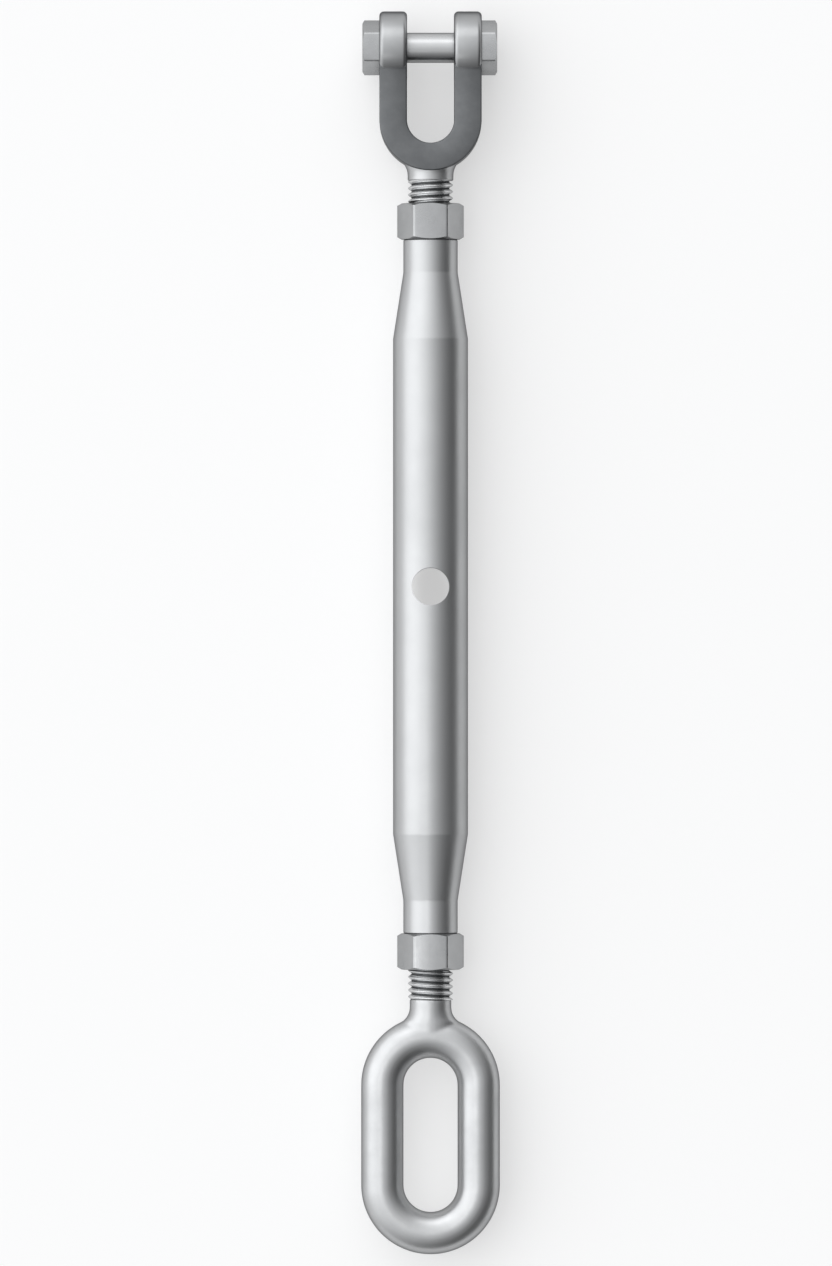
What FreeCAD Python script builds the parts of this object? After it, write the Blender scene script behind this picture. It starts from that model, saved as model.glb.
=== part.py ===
"""Closed body turnbuckle with a bolted jaw at one end and an oval eye at the other.

All sizes are millimetres. The long axis runs along Y, the jaw points to +Y and
the eye to -Y, and the ears and the eye lie flat in the XY plane. The origin is
the middle of the bar hole, half way along the body.
"""

import FreeCAD, Part
import math
import os
import Sketcher

DRIVING_SIZES = (
    ("bodyLength", 185.0, "closed body, end face to end face"),
    ("tubeDiameter", 20.0, "outside of the body's straight tube"),
    ("tubeWall", 2.5, "wall of the straight tube"),
    ("neckDiameter", 14.5, "outside of the body's two necks"),
    ("neckLength", 8.8, "straight part of each neck"),
    ("coneLength", 17.7, "swaged cone between neck and tube"),
    ("tappedLength", 20.0, "tapped depth at each end of the body"),
    ("tappedRunout", 8.0, "inner cone from the tapped bore to the tube"),
    ("barHoleDiameter", 10.0, "cross hole for a tommy bar"),
    ("neckEdge", 0.3, "bevel round the end faces of the body"),
    ("screwDiameter", 12.0, "crests of both end screws"),
    ("screwClearance", 0.05, "radial play of a screw in body and lock nut"),
    ("screwSpacing", 25.0, "between the inner ends of the two screws"),
    ("screwPoint", 1.0, "chamfer at the inner end of a screw"),
    ("lockNutFlats", 15.7, "lock nut across flats"),
    ("lockNutHeight", 9.6, "lock nut along the screw"),
    ("jawFreeThread", 6.1, "bare thread between lock nut and jaw neck"),
    ("jawNeckDiameter", 12.2, "jaw neck above the thread"),
    ("jawNeckLength", 2.5, "thread end to the bottom of the fork"),
    ("jawArcDepth", 19.3, "bolt axis to the centre of the fork's arc"),
    ("jawGap", 12.5, "clear width between the ears"),
    ("earThickness", 7.4, "each ear and arm, across the jaw"),
    ("earDiameter", 19.4, "round ear about the bolt axis"),
    ("earRim", 0.7, "bevelled rims of the ears"),
    ("armDepth", 14.4, "flat arms and arc, front to back"),
    ("armBevel", 0.4, "bevelled edges of the arms and the arc"),
    ("jawBlend", 0.9, "blend between the jaw neck and the fork"),
    ("boltDiameter", 8.0, "jaw bolt"),
    ("boltClearance", 0.05, "radial play of the bolt in ears and nut"),
    ("boltFlats", 13.0, "bolt head and bolt nut across flats"),
    ("boltHeadHeight", 4.5, "bolt head along the bolt"),
    ("boltNutHeight", 4.1, "bolt nut along the bolt"),
    ("boltPoint", 0.6, "chamfer at the bolt's end"),
    ("hexChamferAngle", 30.0, "slope of the turned corners of every hexagon"),
    ("hexFaceShare", 0.95, "round end face of a hexagon over its flats"),
    ("eyeFreeThread", 7.9, "bare thread between lock nut and eye neck"),
    ("eyeNeckDiameter", 11.1, "eye neck below the thread"),
    ("eyeNeckLength", 4.4, "thread end to the top of the loop"),
    ("eyeBarDiameter", 11.3, "round bar of the oval loop"),
    ("eyeOpeningWidth", 14.4, "clear width of the loop"),
    ("eyeOpeningLength", 41.1, "clear length of the loop"),
    ("eyeBlend", 1.5, "blend between the eye neck and the loop"),
)

# Heights along Y, each worked out from the sizes above.
BODY_END = "Sizes.bodyLength / 2"
NUT_END = BODY_END + " + Sizes.lockNutHeight"
FORK_RADIUS = "(Sizes.jawGap / 2 + Sizes.earThickness)"
BOLT_AXIS = (
    "("
    + NUT_END
    + " + Sizes.jawFreeThread + Sizes.jawNeckLength + "
    + FORK_RADIUS
    + " + Sizes.jawArcDepth)"
)
EYE_CENTRE = (
    "("
    + NUT_END
    + " + Sizes.eyeFreeThread + Sizes.eyeNeckLength"
    + " + Sizes.eyeBarDiameter + Sizes.eyeOpeningLength / 2)"
)

# Indices that sketches use for their axes, their origin and the ends of an edge.
HORIZONTAL_INDEX = -1
VERTICAL_INDEX = -2
ORIGIN_POINT = (-1, 1)
START_INDEX = 1
END_INDEX = 2
CENTRE_INDEX = 3


def make_sheet(doc):
    """Write the driving sizes into the document's sheet."""
    sheet = doc.addObject("Spreadsheet::Sheet", "Sizes")
    for row, (alias, size, meaning) in enumerate(DRIVING_SIZES, start=1):
        sheet.set("A%d" % row, meaning)
        sheet.set("B%d" % row, str(size))
        sheet.setAlias("B%d" % row, alias)
    doc.recompute()
    return sheet


def number(body, expression):
    """Value that an expression of the sheet has now."""
    return float(body.Document.Sizes.evalExpression(expression))


def new_body(doc, label):
    """Start a sub-part whose label names its file."""
    body = doc.addObject("PartDesign::Body", label)
    body.Label = label
    return body


def origin_plane(body, role):
    """One of the body's own origin planes."""
    return next(item for item in body.Origin.OriginFeatures if item.Role == role)


def new_sketch(body, name, role):
    """Start a sketch on one of the body's own origin planes."""
    sketch = body.newObject("Sketcher::SketchObject", name)
    sketch.AttachmentSupport = [(origin_plane(body, role), "")]
    sketch.MapMode = "FlatFace"
    return sketch


def tie(sketch, kind, references, expression):
    """Add a measured constraint that follows the sheet."""
    body = sketch.getParentGeoFeatureGroup()
    size = number(body, expression)
    index = sketch.addConstraint(Sketcher.Constraint(kind, *references, size))
    sketch.setExpression("Constraints[%d]" % index, expression)


def place_point(sketch, edge, vertex, across, along):
    """Fix a point of a sketch at two distances from the origin point."""
    body = sketch.getParentGeoFeatureGroup()
    sides = (
        ("DistanceX", across, VERTICAL_INDEX),
        ("DistanceY", along, HORIZONTAL_INDEX),
    )
    for kind, expression, axis in sides:
        size = number(body, expression)
        if size == 0:
            sketch.addConstraint(Sketcher.Constraint("PointOnObject", edge, vertex, axis))
        elif size > 0:
            tie(sketch, kind, (*ORIGIN_POINT, edge, vertex), expression)
        else:
            tie(sketch, kind, (edge, vertex, *ORIGIN_POINT), "-(%s)" % expression)


def draw_outline(sketch, corners):
    """Draw a closed outline of straight edges through corners of two expressions each."""
    body = sketch.getParentGeoFeatureGroup()
    points = [FreeCAD.Vector(number(body, x), number(body, y), 0) for x, y in corners]
    first = sketch.GeometryCount
    following = points[1:] + points[:1]
    for start, end in zip(points, following):
        sketch.addGeometry(Part.LineSegment(start, end), False)
    count = len(points)
    for index in range(count):
        after = first + (index + 1) % count
        sketch.addConstraint(
            Sketcher.Constraint("Coincident", first + index, END_INDEX, after, START_INDEX)
        )
    for index, (across, along) in enumerate(corners):
        place_point(sketch, first + index, START_INDEX, across, along)


def draw_circle(sketch, radius, across, along):
    """Draw a circle whose centre and radius follow the sheet."""
    body = sketch.getParentGeoFeatureGroup()
    centre = FreeCAD.Vector(number(body, across), number(body, along), 0)
    circle = Part.Circle(centre, FreeCAD.Vector(0, 0, 1), number(body, radius))
    edge = sketch.addGeometry(circle, False)
    tie(sketch, "Radius", (edge,), radius)
    place_point(sketch, edge, CENTRE_INDEX, across, along)


def draw_arc(sketch, radius, height, start_angle, end_angle):
    """Draw an arc centred on the vertical axis at a height that follows the sheet."""
    body = sketch.getParentGeoFeatureGroup()
    centre = FreeCAD.Vector(0, number(body, height), 0)
    circle = Part.Circle(centre, FreeCAD.Vector(0, 0, 1), number(body, radius))
    edge = sketch.addGeometry(Part.ArcOfCircle(circle, start_angle, end_angle), False)
    place_point(sketch, edge, CENTRE_INDEX, "0", height)
    return edge


def draw_fork_outline(sketch, radius, height, top):
    """Draw a U that is closed at its top: a half circle with straight sides."""
    body = sketch.getParentGeoFeatureGroup()
    half = number(body, radius)
    low = number(body, height)
    high = number(body, top)
    arc = draw_arc(sketch, radius, height, math.pi, 2 * math.pi)
    tie(sketch, "Radius", (arc,), radius)
    corners = [
        FreeCAD.Vector(half, low, 0),
        FreeCAD.Vector(half, high, 0),
        FreeCAD.Vector(-half, high, 0),
        FreeCAD.Vector(-half, low, 0),
    ]
    right = sketch.addGeometry(Part.LineSegment(corners[0], corners[1]), False)
    across = sketch.addGeometry(Part.LineSegment(corners[1], corners[2]), False)
    left = sketch.addGeometry(Part.LineSegment(corners[2], corners[3]), False)
    sketch.addConstraint(Sketcher.Constraint("Tangent", arc, END_INDEX, right, START_INDEX))
    sketch.addConstraint(Sketcher.Constraint("Coincident", right, END_INDEX, across, START_INDEX))
    sketch.addConstraint(Sketcher.Constraint("Coincident", across, END_INDEX, left, START_INDEX))
    sketch.addConstraint(Sketcher.Constraint("Tangent", left, END_INDEX, arc, START_INDEX))
    sketch.addConstraint(Sketcher.Constraint("Vertical", right))
    sketch.addConstraint(Sketcher.Constraint("Vertical", left))
    sketch.addConstraint(Sketcher.Constraint("Horizontal", across))
    if high == 0:
        sketch.addConstraint(
            Sketcher.Constraint("PointOnObject", across, START_INDEX, HORIZONTAL_INDEX)
        )
    else:
        tie(sketch, "DistanceY", (*ORIGIN_POINT, across, START_INDEX), top)


def draw_oval(sketch, radius, half_straight):
    """Draw an oval of two half circles and two straight sides about the origin."""
    body = sketch.getParentGeoFeatureGroup()
    half = number(body, radius)
    high = number(body, half_straight)
    upper = draw_arc(sketch, radius, half_straight, 0, math.pi)
    lower = draw_arc(sketch, radius, "-(%s)" % half_straight, math.pi, 2 * math.pi)
    tie(sketch, "Radius", (upper,), radius)
    corners = [
        FreeCAD.Vector(-half, high, 0),
        FreeCAD.Vector(-half, -high, 0),
        FreeCAD.Vector(half, -high, 0),
        FreeCAD.Vector(half, high, 0),
    ]
    left = sketch.addGeometry(Part.LineSegment(corners[0], corners[1]), False)
    right = sketch.addGeometry(Part.LineSegment(corners[2], corners[3]), False)
    sketch.addConstraint(Sketcher.Constraint("Tangent", upper, END_INDEX, left, START_INDEX))
    sketch.addConstraint(Sketcher.Constraint("Tangent", left, END_INDEX, lower, START_INDEX))
    sketch.addConstraint(Sketcher.Constraint("Tangent", lower, END_INDEX, right, START_INDEX))
    sketch.addConstraint(Sketcher.Constraint("Tangent", right, END_INDEX, upper, START_INDEX))
    sketch.addConstraint(Sketcher.Constraint("Vertical", left))


def draw_hexagon(sketch, flats):
    """Draw a hexagon about the origin with two corners on the horizontal axis."""
    body = sketch.getParentGeoFeatureGroup()
    corner_radius = "%s / sqrt(3)" % flats
    reach = number(body, corner_radius)
    circle = Part.Circle(FreeCAD.Vector(0, 0, 0), FreeCAD.Vector(0, 0, 1), reach)
    guide = sketch.addGeometry(circle, True)
    sketch.addConstraint(Sketcher.Constraint("Coincident", guide, CENTRE_INDEX, *ORIGIN_POINT))
    tie(sketch, "Radius", (guide,), corner_radius)
    angles = [index * math.pi / 3 for index in range(6)]
    points = [
        FreeCAD.Vector(reach * math.cos(angle), reach * math.sin(angle), 0)
        for angle in angles
    ]
    following = points[1:] + points[:1]
    sides = [
        sketch.addGeometry(Part.LineSegment(start, end), False)
        for start, end in zip(points, following)
    ]
    for index, side in enumerate(sides):
        after = sides[(index + 1) % len(sides)]
        sketch.addConstraint(Sketcher.Constraint("Coincident", side, END_INDEX, after, START_INDEX))
        sketch.addConstraint(
            Sketcher.Constraint("PointOnObject", side, START_INDEX, guide)
        )
    for side in sides[1:]:
        sketch.addConstraint(Sketcher.Constraint("Equal", sides[0], side))
    sketch.addConstraint(
        Sketcher.Constraint("PointOnObject", sides[0], START_INDEX, HORIZONTAL_INDEX)
    )


def revolve(body, name, sketch, axis):
    """Turn a sketch once round one of its own axes."""
    feature = body.newObject("PartDesign::Revolution", name)
    feature.Profile = sketch
    feature.ReferenceAxis = (sketch, [axis])
    feature.Angle = 360.0
    return feature


def groove(body, name, sketch, axis):
    """Cut a sketch away once round one of its own axes."""
    feature = body.newObject("PartDesign::Groove", name)
    feature.Profile = sketch
    feature.ReferenceAxis = (sketch, [axis])
    feature.Angle = 360.0
    return feature


def pad_both_ways(body, name, sketch, depth):
    """Extrude a sketch by half of a depth to each side of its plane."""
    feature = body.newObject("PartDesign::Pad", name)
    feature.Profile = sketch
    feature.SideType = "Symmetric"
    feature.setExpression("Length", depth)
    return feature


def pocket_both_ways(body, name, sketch, depth):
    """Cut a sketch away by half of a depth to each side of its plane."""
    feature = body.newObject("PartDesign::Pocket", name)
    feature.Profile = sketch
    feature.SideType = "Symmetric"
    feature.setExpression("Length", depth)
    return feature


def name_edges(base, wanted):
    """Names of the edges of a feature that a test picks out."""
    base.Document.recompute()
    names = [
        "Edge%d" % index
        for index, edge in enumerate(base.Shape.Edges, start=1)
        if wanted(edge)
    ]
    if not names:
        raise RuntimeError("no edge of %s passes the test" % base.Label)
    return names


def round_edges(body, name, base, wanted, radius):
    """Round the edges of a feature that a test picks out."""
    feature = body.newObject("PartDesign::Fillet", name)
    feature.Base = (base, name_edges(base, wanted))
    feature.setExpression("Radius", radius)
    return feature


def bevel_edges(body, name, base, wanted, size):
    """Bevel the edges of a feature that a test picks out."""
    feature = body.newObject("PartDesign::Chamfer", name)
    feature.Base = (base, name_edges(base, wanted))
    feature.setExpression("Size", size)
    return feature


def finish(body, last):
    """Make a feature the one that the body shows."""
    body.Document.recompute()
    body.Tip = last
    body.Document.recompute()
    return body


def make_closed_body(doc):
    """Tube swaged down to a tapped neck at each end, with a cross hole for a bar."""
    body = new_body(doc, "body")
    wall = new_sketch(body, "WallProfile", "XY_Plane")
    tube = "Sizes.tubeDiameter / 2"
    neck = "Sizes.neckDiameter / 2"
    bore = "Sizes.screwDiameter / 2 + Sizes.screwClearance"
    hollow = "Sizes.tubeDiameter / 2 - Sizes.tubeWall"
    edge = "Sizes.neckEdge"
    cone_top = BODY_END + " - Sizes.neckLength"
    cone_foot = cone_top + " - Sizes.coneLength"
    tapped_end = BODY_END + " - Sizes.tappedLength"
    hollow_end = tapped_end + " - Sizes.tappedRunout"
    upper_half = [
        (hollow, hollow_end),
        (bore, tapped_end),
        (bore, BODY_END),
        (neck + " - " + edge, BODY_END),
        (neck, BODY_END + " - " + edge),
        (neck, cone_top),
        (tube, cone_foot),
    ]
    lower_half = [(x, "-(%s)" % y) for x, y in reversed(upper_half)]
    draw_outline(wall, upper_half + lower_half)
    revolve(body, "Wall", wall, "V_Axis")

    hole = new_sketch(body, "BarHoleOutline", "XY_Plane")
    draw_circle(hole, "Sizes.barHoleDiameter / 2", "0", "0")
    drilled = pocket_both_ways(body, "BarHole", hole, "Sizes.tubeDiameter * 2")
    return finish(body, drilled)


def add_screw(body, name, neck, neck_top, shoulder, point_end):
    """Turn a neck and a screw onto a body, towards -Y if the shoulder is above the point."""
    sketch = new_sketch(body, name + "Profile", "XY_Plane")
    crest = "Sizes.screwDiameter / 2"
    upwards = number(body, point_end) > number(body, shoulder)
    chamfer_start = point_end + (" - " if upwards else " + ") + "Sizes.screwPoint"
    corners = [
        ("0", neck_top),
        (neck, neck_top),
        (neck, shoulder),
        (crest, shoulder),
        (crest, chamfer_start),
        (crest + " - Sizes.screwPoint", point_end),
        ("0", point_end),
    ]
    draw_outline(sketch, corners)
    return revolve(body, name, sketch, "V_Axis")


def make_jaw(doc):
    """Forged fork with two round ears on flat arms, a round arc, a neck and a screw."""
    body = new_body(doc, "jaw")
    arc_height = "-Sizes.jawArcDepth"
    fork = new_sketch(body, "ForkOutline", "XY_Plane")
    draw_fork_outline(fork, FORK_RADIUS, arc_height, "0")
    block = pad_both_ways(body, "Fork", fork, "Sizes.armDepth")

    neck = "Sizes.jawNeckDiameter / 2"
    fork_bottom = arc_height + " - " + FORK_RADIUS
    neck_top = fork_bottom + " + Sizes.earThickness / 2"
    shoulder = fork_bottom + " - Sizes.jawNeckLength"
    point_end = "-(%s - Sizes.screwSpacing / 2)" % BOLT_AXIS
    screw = add_screw(body, "Screw", neck, neck_top, shoulder, point_end)
    neck_radius = number(body, neck)
    arc_place = number(body, arc_height)
    fork_radius = number(body, FORK_RADIUS)

    def is_neck_seam(item):
        """Say whether an edge is where the neck runs into the fork's arc."""
        return all(
            math.isclose(math.hypot(p.x, p.z), neck_radius, abs_tol=1e-3)
            and math.isclose(
                math.hypot(p.x, p.y - arc_place), fork_radius, abs_tol=1e-3
            )
            for p in item.discretize(5)
        )

    round_edges(
        body,
        "NeckBlend",
        screw,
        is_neck_seam,
        "min(Sizes.jawBlend; (Sizes.armDepth - Sizes.jawNeckDiameter) / 2 - 0.1)",
    )

    gap = new_sketch(body, "GapOutline", "XY_Plane")
    draw_fork_outline(gap, "Sizes.jawGap / 2", arc_height, "Sizes.earDiameter")
    opened = pocket_both_ways(body, "Gap", gap, "Sizes.armDepth * 2")
    half_depth = number(body, "Sizes.armDepth / 2")

    def is_arm_edge(item):
        """Say whether an edge runs along the front or back face of the fork."""
        points = item.discretize(5)
        on_face = all(
            math.isclose(abs(p.z), half_depth, abs_tol=1e-4) for p in points
        )
        across_top = all(math.isclose(p.y, 0, abs_tol=1e-4) for p in points)
        return on_face and not across_top

    bevel_edges(body, "ArmEdges", opened, is_arm_edge, "Sizes.armBevel")

    ear = new_sketch(body, "EarProfile", "XY_Plane")
    inner = "Sizes.jawGap / 2"
    rim = "Sizes.earDiameter / 2"
    corners = [
        (inner, "0"),
        (FORK_RADIUS, "0"),
        (FORK_RADIUS, rim + " - Sizes.earRim"),
        (FORK_RADIUS + " - Sizes.earRim", rim),
        (inner + " + Sizes.earRim", rim),
        (inner, rim + " - Sizes.earRim"),
    ]
    draw_outline(ear, corners)
    right_ear = revolve(body, "Ear", ear, "H_Axis")
    body.Document.recompute()
    mirrored = body.newObject("PartDesign::Mirrored", "OtherEar")
    mirrored.Originals = [right_ear]
    mirrored.MirrorPlane = (origin_plane(body, "YZ_Plane"), [""])
    body.Document.recompute()
    body.Tip = mirrored

    hole = new_sketch(body, "BoltHoleOutline", "YZ_Plane")
    draw_circle(hole, "Sizes.boltDiameter / 2 + Sizes.boltClearance", "0", "0")
    drilled = pocket_both_ways(body, "BoltHoles", hole, FORK_RADIUS + " * 3")
    body.setExpression("Placement.Base.y", BOLT_AXIS)
    return finish(body, drilled)


def make_eye(doc):
    """Round bar bent to an oval loop and forged in one with its neck and screw."""
    body = new_body(doc, "eye")
    bar = "Sizes.eyeBarDiameter / 2"
    path_radius = "(Sizes.eyeOpeningWidth / 2 + %s)" % bar
    half_straight = "(Sizes.eyeOpeningLength - Sizes.eyeOpeningWidth) / 2"
    path = new_sketch(body, "LoopPath", "XY_Plane")
    draw_oval(path, path_radius, half_straight)
    section = new_sketch(body, "BarSection", "XZ_Plane")
    draw_circle(section, bar, "-" + path_radius, "0")
    body.Document.recompute()
    loop = body.newObject("PartDesign::AdditivePipe", "Loop")
    loop.Profile = section
    loop.Spine = path
    body.Document.recompute()

    neck = "Sizes.eyeNeckDiameter / 2"
    bar_top = "Sizes.eyeOpeningLength / 2 + " + bar
    shoulder = "Sizes.eyeOpeningLength / 2 + Sizes.eyeBarDiameter + Sizes.eyeNeckLength"
    point_end = "%s - Sizes.screwSpacing / 2" % EYE_CENTRE
    screw = add_screw(body, "Screw", neck, bar_top, shoulder, point_end)
    neck_radius = number(body, neck)
    low = number(body, bar_top)
    high = number(body, shoulder)

    def is_neck_seam(item):
        """Say whether an edge is where the neck runs into the loop."""
        points = item.discretize(5)
        on_neck = all(
            math.isclose(math.hypot(p.x, p.z), neck_radius, abs_tol=1e-3) for p in points
        )
        return on_neck and all(low < p.y < high - 1e-3 for p in points)

    blended = round_edges(body, "NeckBlend", screw, is_neck_seam, "Sizes.eyeBlend")
    body.setExpression("Placement.Base.y", "-" + EYE_CENTRE)
    return finish(body, blended)


def turn_corners(body, name, flats, face, towards):
    """Turn the corners of a hexagon to a cone at the end face at a height."""
    sketch = new_sketch(body, name + "Profile", "XZ_Plane")
    face_radius = "%s / 2 * Sizes.hexFaceShare" % flats
    reach = "%s * 0.7" % flats
    drop = "(%s - %s) * tan(Sizes.hexChamferAngle)" % (reach, face_radius)
    foot = "%s %s %s" % (face, "-" if towards > 0 else "+", drop)
    beyond = "%s %s 1" % (face, "+" if towards > 0 else "-")
    corners = [(face_radius, face), (reach, foot), (reach, beyond), (face_radius, beyond)]
    draw_outline(sketch, corners)
    return groove(body, name, sketch, "V_Axis")


def make_nut(doc, label, flats, height, bore, both_ends):
    """Hexagon nut standing on the XY plane, with its far corners turned and its bore."""
    body = new_body(doc, label)
    hexagon = new_sketch(body, "Hexagon", "XY_Plane")
    draw_hexagon(hexagon, flats)
    blank = body.newObject("PartDesign::Pad", "Blank")
    blank.Profile = hexagon
    blank.setExpression("Length", height)
    turn_corners(body, "FarCorners", flats, height, 1)
    if both_ends:
        turn_corners(body, "NearCorners", flats, "0", -1)
    tapped = new_sketch(body, "BoreOutline", "XY_Plane")
    draw_circle(tapped, bore, "0", "0")
    last = pocket_both_ways(body, "Bore", tapped, height + " * 3")
    return finish(body, last)


def make_lock_nut(doc, label, side):
    """Lock nut that bears on one end face of the body."""
    bore = "Sizes.screwDiameter / 2 + Sizes.screwClearance"
    nut = make_nut(doc, label, "Sizes.lockNutFlats", "Sizes.lockNutHeight", bore, True)
    nut.Placement.Rotation = FreeCAD.Rotation(FreeCAD.Vector(1, 0, 0), -90 * side)
    nut.setExpression("Placement.Base.y", "%d * (%s)" % (side, BODY_END))
    return nut


def make_bolt_nut(doc):
    """Thin nut on the jaw bolt, against the right-hand ear."""
    bore = "Sizes.boltDiameter / 2 + Sizes.boltClearance"
    label = "jaw_bolt_nut"
    nut = make_nut(doc, label, "Sizes.boltFlats", "Sizes.boltNutHeight", bore, False)
    nut.Placement.Rotation = FreeCAD.Rotation(FreeCAD.Vector(1, 1, 1), 120)
    nut.setExpression("Placement.Base.x", FORK_RADIUS)
    nut.setExpression("Placement.Base.y", BOLT_AXIS)
    return nut


def make_bolt(doc):
    """Hexagon bolt through both ears, its head on the left and its end flush in the nut."""
    body = new_body(doc, "jaw_bolt")
    hexagon = new_sketch(body, "Hexagon", "XY_Plane")
    draw_hexagon(hexagon, "Sizes.boltFlats")
    head = body.newObject("PartDesign::Pad", "Head")
    head.Profile = hexagon
    head.Reversed = True
    head.setExpression("Length", "Sizes.boltHeadHeight")
    turn_corners(body, "HeadCorners", "Sizes.boltFlats", "-Sizes.boltHeadHeight", -1)

    shank = new_sketch(body, "ShankProfile", "XZ_Plane")
    radius = "Sizes.boltDiameter / 2"
    length = FORK_RADIUS + " * 2 + Sizes.boltNutHeight"
    corners = [
        ("0", "-Sizes.boltHeadHeight / 2"),
        (radius, "-Sizes.boltHeadHeight / 2"),
        (radius, length + " - Sizes.boltPoint"),
        (radius + " - Sizes.boltPoint", length),
        ("0", length),
    ]
    draw_outline(shank, corners)
    last = revolve(body, "Shank", shank, "V_Axis")
    body.Placement.Rotation = FreeCAD.Rotation(FreeCAD.Vector(1, 1, 1), 120)
    body.setExpression("Placement.Base.x", "-" + FORK_RADIUS)
    body.setExpression("Placement.Base.y", BOLT_AXIS)
    return finish(body, last)


def check_document(doc, parts):
    """Stop if any object failed or a sub-part isn't one valid solid."""
    for item in doc.Objects:
        if "Invalid" in item.State or "Error" in item.State:
            raise RuntimeError("%s failed: %s" % (item.Label, item.State))
    for part in parts:
        shape = part.Shape
        if shape.isNull() or not shape.isValid() or len(shape.Solids) != 1:
            raise RuntimeError("%s isn't one valid solid" % part.Label)


def main():
    """Build every sub-part and write each to its own file."""
    doc = FreeCAD.newDocument("ClosedBodyTurnbuckle")
    make_sheet(doc)
    parts = [
        make_closed_body(doc),
        make_jaw(doc),
        make_lock_nut(doc, "jaw_lock_nut", 1),
        make_bolt(doc),
        make_bolt_nut(doc),
        make_eye(doc),
        make_lock_nut(doc, "eye_lock_nut", -1),
    ]
    doc.recompute()
    check_document(doc, parts)
    os.makedirs("parts", exist_ok=True)
    for part in parts:
        part.Shape.exportStep("parts/%s.step" % part.Label)
        box = part.Shape.BoundBox
        print(
            "%s: %.1f mm3, Y %.2f to %.2f" % (part.Label, part.Shape.Volume, box.YMin, box.YMax)
        )


main()
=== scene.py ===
"""Dress the closed body turnbuckle: swaged tube, forged jaw and eye, nuts and bolt.

Sizes in the classes are millimetres unless they say otherwise. The long axis is Y, the
jaw points to +Y, and the fitting lies on the floor below it with +Z up.
"""

import logging
import math
from collections.abc import Iterable
from dataclasses import dataclass
from enum import Enum, IntEnum
from typing import TypeVar

import bmesh
import bpy
from mathutils import Matrix, Vector


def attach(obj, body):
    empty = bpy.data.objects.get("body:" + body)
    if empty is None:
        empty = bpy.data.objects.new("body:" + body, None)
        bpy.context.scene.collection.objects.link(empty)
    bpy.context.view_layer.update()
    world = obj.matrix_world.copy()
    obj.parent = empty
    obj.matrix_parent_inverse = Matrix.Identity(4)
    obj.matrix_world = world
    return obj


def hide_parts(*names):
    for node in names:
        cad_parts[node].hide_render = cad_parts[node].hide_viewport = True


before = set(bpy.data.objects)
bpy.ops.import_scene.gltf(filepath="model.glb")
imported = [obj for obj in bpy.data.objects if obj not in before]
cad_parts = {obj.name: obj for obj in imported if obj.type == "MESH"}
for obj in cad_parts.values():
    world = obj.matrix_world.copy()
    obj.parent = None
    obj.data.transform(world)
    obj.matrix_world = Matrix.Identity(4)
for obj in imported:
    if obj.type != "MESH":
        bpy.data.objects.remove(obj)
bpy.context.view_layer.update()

LOG = logging.getLogger("turnbuckle")

MM = 0.001  # metres in a millimetre
WELD = 1e-4  # vertices nearer than this are one
SEAM = 0.01  # reach of the weld between the turns of a thread
ROUND = 96  # facets round a turned surface
BEND = 64  # facets in half a turn of a bend, and round a bent bar
SHARP = 0.5  # angle between two sides that makes a corner, in radians
OFF_HOLE = 0.02  # how far the hole's rim may stray from the hole's circle
OFF_TUBE = 0.03  # how far it may stray from the tube's circle

# Places along the axes that several pieces use.
BODY_END = 92.5
LOCK_NUT_END = 102.1
BOLT_AXIS = 143.65
BOLT_SEAT = 13.65
BOLT_END = 17.75

SHADE_DEPTH = 0.44  # depth below the crest where a groove's painted shade starts, in pitches
SPARE_TURNS = 1.5  # turns wound below a thread's lower end, to be cut off

Point = tuple[float, float]
Triple = tuple[float, float, float]
Vertex = bmesh.types.BMVert
Edge = bmesh.types.BMEdge
Tree = bpy.types.NodeTree
Socket = bpy.types.NodeSocket
Inputs = dict[str | int, object]
Kind = TypeVar("Kind")

# Corners of one turn of a thread: depth below the crest and advance, both in pitches.
THREAD_FORM: tuple[Point, ...] = (
    (0.58, 0.0),
    (0.58, 0.04),
    (0.53, 0.08),
    (SHADE_DEPTH, 0.141),
    (0.16, 0.33),
    (0.06, 0.41),
    (0.01, 0.48),
    (0.0, 0.52),
    (0.01, 0.56),
    (0.06, 0.63),
    (0.16, 0.71),
    (SHADE_DEPTH, 0.899),
    (0.53, 0.96),
    (0.58, 1.0),
)


class Join(Enum):
    """Ways of combining two closed meshes."""

    CUT = "DIFFERENCE"
    COMMON = "INTERSECT"


class Hand(Enum):
    """Hand of a screw thread, as the sign of its advance."""

    RIGHT = 1.0
    LEFT = -1.0


class Rounded(Enum):
    """What a rounding works on."""

    CORNERS = "VERTICES"
    EDGES = "EDGES"


class Surface(IntEnum):
    """Places of a piece's finishes. A thread takes two, for its crests and grooves."""

    MAIN = 0
    THREAD = 1
    SHANK = 2
    NECK = 3
    EARS = 4


class Axis(Enum):
    """Axis that a turned piece spins round, through the origin."""

    ALONG = (0.0, 1.0, 0.0)
    ACROSS = (1.0, 0.0, 0.0)

    def place(self, radius: float, distance: float) -> Vector:
        """Find a point from its radius and its distance along the axis.

        Args:
            radius: distance from the axis, towards +X for ALONG and +Y for ACROSS.
            distance: distance along the axis.

        Returns:
            The point.
        """
        if self is Axis.ALONG:
            return Vector((radius, distance, 0.0))
        return Vector((distance, radius, 0.0))

    def distance(self, point: Vector) -> float:
        """Say how far along the axis a point is."""
        return point.y if self is Axis.ALONG else point.x

    def foot(self, point: Vector) -> Vector:
        """Find the place on the axis that is level with a point."""
        return self.place(0.0, self.distance(point))


def pick(kind: type[Kind], items: Iterable[object]) -> list[Kind]:
    """Keep the items of one kind."""
    return [item for item in items if isinstance(item, kind)]


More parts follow.
